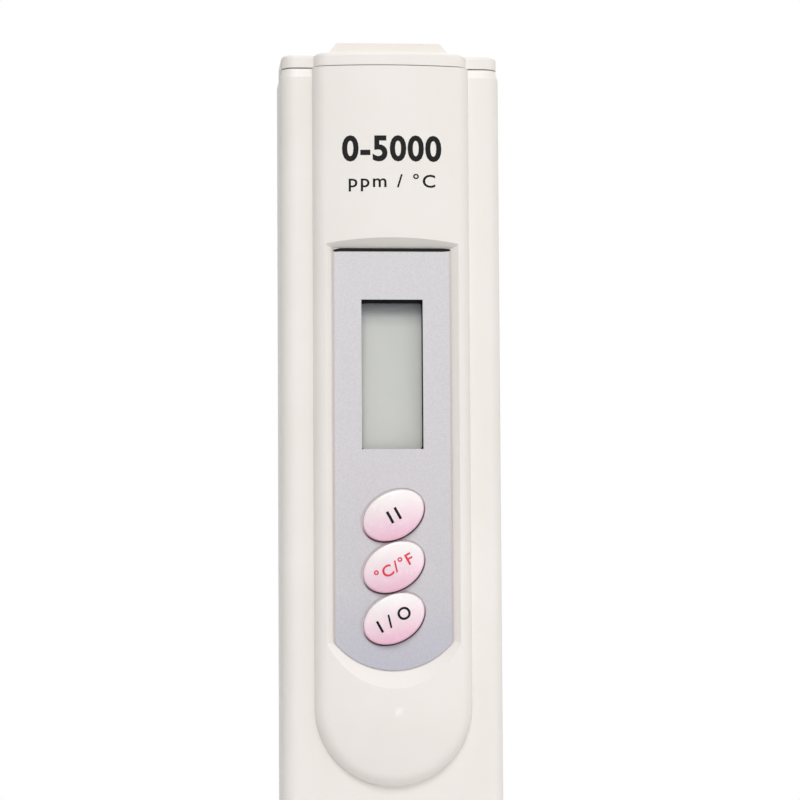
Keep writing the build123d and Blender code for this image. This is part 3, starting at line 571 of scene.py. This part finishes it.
def frame_line(half_w, top, low, radius, steps=6):
    """Rounded rectangle between two heights, counter-clockwise from its right side."""
    points = []
    corners = ((1, top, 0), (-1, top, 90), (-1, low, 180), (1, low, 270))
    for side, edge, first in corners:
        x = side * (half_w - radius)
        up = edge - radius if edge > 0 else edge + radius
        for k in range(steps + 1):
            turn = radians(first + 90 * k / steps)
            points.append((x + radius * cos(turn), up + radius * sin(turn)))
    return points


# Rubber web that shows round each button, a little below the label's face
WEB_GAP = 0.03
WEB_T = 0.12
for key, z in zip(("hold", "temp", "power"), BUTTON_ZS):
    ring(
        f"{key}_web", z, oval(BUTTON_GAP - WEB_GAP), oval(WEB_GAP),
        RECESS_FLOOR, RECESS_FLOOR + WEB_T, "web_rubber",
    )

# Black mask printed on the pane, just inside the window; its wide top band is painted shadow under the
# window's top edge
MASK_OUT = 0.13
MASK_IN = 0.06
# Width of the mask's top band, widened as painted shadow
MASK_TOP_SHADOW = 0.42
MASK_OUT_R = 0.1
MASK_IN_R = 0.45
MASK_T = 0.03
half_w = WINDOW_W / 2
half_h = WINDOW_H / 2
ring(
    "window_mask_and_shadow", WINDOW_Z,
    frame_line(half_w + MASK_OUT, half_h + MASK_OUT, -half_h - MASK_OUT, MASK_OUT_R),
    frame_line(half_w - MASK_IN, half_h - MASK_TOP_SHADOW, -half_h + MASK_IN, MASK_IN_R),
    PANE_FRONT, PANE_FRONT + MASK_T, "ink_dark",
)

# Black strip along the label's top edge, painted shadow under the recess's top wall; thinner towards its
# ends and lower at the left one
SHADOW_H = 0.46
SHADOW_T = 0.04
SHADOW_DROP = 0.05
END_DROP = 0.16
END_START = -7.8
END_TAPER = 0.9
END_SHARE = 0.25
shadow_verts = []
stations = [-8.2, -7.9, -7.2, -5.5, -3.0, 0.0, 3.0, 5.5, 7.2, 7.9, 8.2]
for x in stations:
    drop = END_DROP if x < END_START else SHADOW_DROP
    half = SHADOW_H / 2 * min(1.0, (LABEL_HALF - abs(x)) / END_TAPER + END_SHARE)
    middle = LABEL_TOP - drop - SHADOW_H / 2
    for up, depth in ((half, SHADOW_T), (-half, SHADOW_T), (-half, 0.0), (half, 0.0)):
        shadow_verts.append((x * MM, -(LABEL_FACE + depth) * MM, (middle + up) * MM))
last = 4 * (len(stations) - 1)
shadow_faces = [(0, 1, 2, 3), (last + 3, last + 2, last + 1, last)]
for i in range(len(stations) - 1):
    a, b = 4 * i, 4 * (i + 1)
    shadow_faces += [(a + k, a + (k + 1) % 4, b + (k + 1) % 4, b + k) for k in range(4)]
solid("label_top_shadow", shadow_verts, shadow_faces, "ink_dark")

# Floor: a pale disc that fades out before the main view's lower edge
FLOOR_R = 0.58
FADE_START = 0.55
FADE_END = 0.98
floor_mesh = bpy.data.meshes.new("floor")
disc = bmesh.new()
bmesh.ops.create_circle(disc, cap_ends=True, segments=96, radius=FLOOR_R)
disc.to_mesh(floor_mesh)
disc.free()
floor = bpy.data.objects.new("floor", floor_mesh)
scene.collection.objects.link(floor)
n = Nodes("floor_paint")
length = n.add("ShaderNodeVectorMath", operation="LENGTH")
n.link(n.coord, length.inputs[0])
n.colour(n.ramp(n.noise(60.0, 2.0), [(0.3, (227, 227, 227)), (0.7, (229, 229, 229))]))
n.roughness(n.spread(n.noise(60.0, 2.0), 0.78, 0.8))
fade = n.spread(length.outputs["Value"], 1.0, 0.0, FLOOR_R * FADE_START, FLOOR_R * FADE_END)
n.link(fade, n.shader.inputs["Alpha"])
floor_mesh.materials.append(n.material)

# World: white where it is seen or reflected; its light is stronger from above and from the right
AMBIENT = 0.36
FROM_ABOVE = 0.28
FROM_RIGHT = 0.22
world = bpy.data.worlds.new("studio")
scene.world = world
world.use_nodes = True
tree = world.node_tree
tree.nodes.clear()
out = tree.nodes.new("ShaderNodeOutputWorld")
mix = tree.nodes.new("ShaderNodeMixShader")
soft_light = tree.nodes.new("ShaderNodeBackground")
soft_light.inputs[0].default_value = (1.0, 1.0, 1.0, 1.0)
direction = tree.nodes.new("ShaderNodeSeparateXYZ")
tree.links.new(tree.nodes.new("ShaderNodeTexCoord").outputs["Generated"], direction.inputs[0])
level = AMBIENT
for axis, share in (("Z", FROM_ABOVE), ("X", FROM_RIGHT)):
    term = tree.nodes.new("ShaderNodeMath")
    term.operation = "MULTIPLY_ADD"
    term.inputs[1].default_value = share
    tree.links.new(direction.outputs[axis], term.inputs[0])
    if isinstance(level, float):
        term.inputs[2].default_value = level
    else:
        tree.links.new(level, term.inputs[2])
    level = term.outputs[0]
tree.links.new(level, soft_light.inputs[1])
white = tree.nodes.new("ShaderNodeBackground")
white.inputs[0].default_value = (1.0, 1.0, 1.0, 1.0)
white.inputs[1].default_value = 1.0
rays = tree.nodes.new("ShaderNodeLightPath")
seen = rays.outputs["Is Camera Ray"]
for kind in ("Is Glossy Ray", "Is Transmission Ray"):
    either = tree.nodes.new("ShaderNodeMath")
    either.operation = "MAXIMUM"
    tree.links.new(seen, either.inputs[0])
    tree.links.new(rays.outputs[kind], either.inputs[1])
    seen = either.outputs[0]
tree.links.new(seen, mix.inputs[0])
tree.links.new(soft_light.outputs[0], mix.inputs[1])
tree.links.new(white.outputs[0], mix.inputs[2])
tree.links.new(mix.outputs[0], out.inputs[0])


def lamp(name, at, towards, size, level):
    """Square soft box that lights a facing surface to this level on its own."""
    light = bpy.data.lights.new(name, "AREA")
    light.shape = "SQUARE"
    light.size = size
    away = Vector(at) - Vector(towards)
    light.energy = level * pi**2 * away.length_squared
    holder = bpy.data.objects.new(name, light)
    holder.location = at
    holder.rotation_euler = away.to_track_quat("Z", "Y").to_euler()
    scene.collection.objects.link(holder)


lamp("key", (-0.08, -0.70, 0.72), (0.0, 0.0, 0.10), 0.40, 0.47)
lamp("fill", (0.55, -0.60, 0.20), (0.0, 0.0, 0.09), 0.45, 0.07)
lamp("rear", (0.20, 0.80, 0.60), (0.0, 0.0, 0.09), 0.50, 0.34)

# Camera: a little to the left of the front and below the middle of the picture, tipped up
AIM = Vector((1.45, -3.5, 104.3)) * MM
AZIMUTH = -4.8
EYE_Z = 78.9 * MM
DISTANCE = 0.4
ROLL = 0.33
LENS = 127.8
camera_data = bpy.data.cameras.new("camera")
camera_data.sensor_width = 36.0
camera_data.lens = LENS
camera_data.clip_start = 0.01
camera = bpy.data.objects.new("camera", camera_data)
back = Vector((sin(radians(AZIMUTH)), -cos(radians(AZIMUTH)), 0.0))
camera.location = AIM + back * DISTANCE
camera.location.z = EYE_Z
look = (AIM - camera.location).to_track_quat("-Z", "Y")
camera.rotation_mode = "QUATERNION"
camera.rotation_quaternion = look @ Matrix.Rotation(radians(-ROLL), 3, "Z").to_quaternion()
scene.collection.objects.link(camera)
scene.camera = camera
